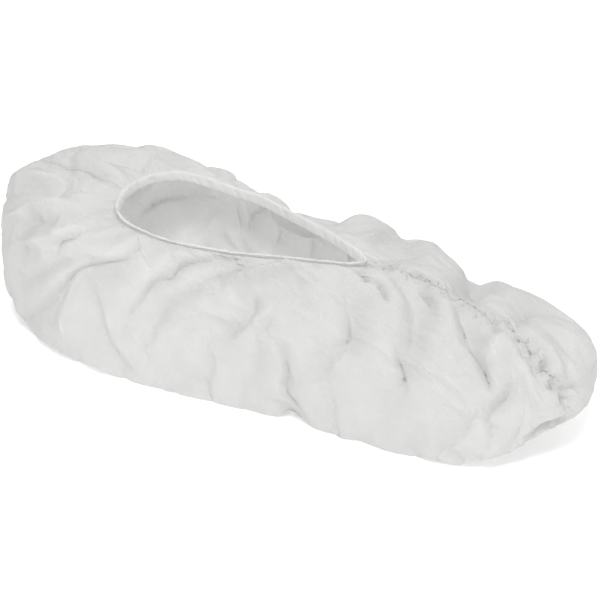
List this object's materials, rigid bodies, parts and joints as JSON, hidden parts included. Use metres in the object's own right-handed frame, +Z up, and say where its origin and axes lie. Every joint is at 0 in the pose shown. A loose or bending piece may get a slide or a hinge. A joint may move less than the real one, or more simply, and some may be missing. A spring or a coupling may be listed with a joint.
{
  "type": "disposable shoe cover",
  "caption": "Soft slip-on cover for a shoe: two white cloth side panels sewn over the vamp, sole and heel, with an elastic hem round a teardrop opening.",
  "frame": {"origin": "on the floor, under the middle of the cover's length and width", "axes": "+X to the toe, +Y to the wearer's left, +Z up"},
  "size_m": [0.3594, 0.1364, 0.0964],
  "materials": {
    "cover_cloth": "white microporous film laminated to spunbonded cloth, fine embossed dots, satin",
    "elastic_hem": "the same white cloth gathered over a narrow elastic, matt",
    "seam_cloth": "overlocked white cloth allowance with white thread, matt"
  },
  "bodies": {
    "root": {"right_panel": "cover_cloth", "left_panel": "cover_cloth", "opening_binding": "elastic_hem", "vamp_seam": "seam_cloth", "sole_seam": "seam_cloth", "heel_seam": "seam_cloth"}
  },
  "joints": []
}
